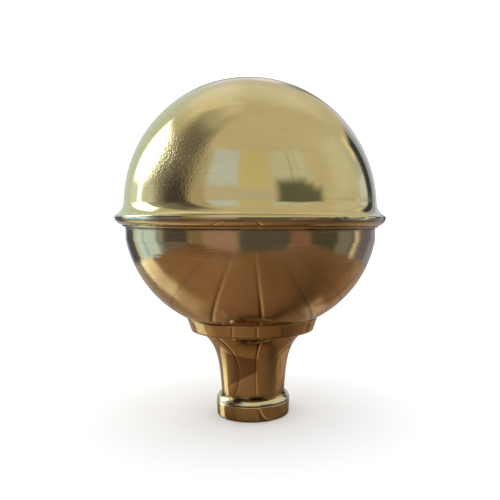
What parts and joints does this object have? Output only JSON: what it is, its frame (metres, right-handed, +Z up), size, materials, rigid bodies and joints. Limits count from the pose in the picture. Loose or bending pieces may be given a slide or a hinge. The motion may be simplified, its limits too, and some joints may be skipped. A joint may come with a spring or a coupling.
{
  "type": "bed post finial",
  "caption": "Hollow brass ball finial with a flanged seam round its middle, on a turned collar, trumpet neck and beaded foot with an open socket.",
  "frame": {"origin": "centre of the foot's flat underside, in the middle of the socket's mouth", "axes": "+Z up along the turned axis, from the foot to the crown of the ball"},
  "size_m": [0.109, 0.109, 0.1371],
  "materials": {
    "dome_brass": "polished spun brass with fine turning lines and light scratches",
    "bowl_brass": "satin spun brass with turning lines",
    "neck_brass": "polished turned brass, dirt in the creases of the foot"
  },
  "bodies": {
    "root": {"upper_dome": "dome_brass", "lower_bowl": "bowl_brass", "neck": "neck_brass"}
  },
  "joints": []
}
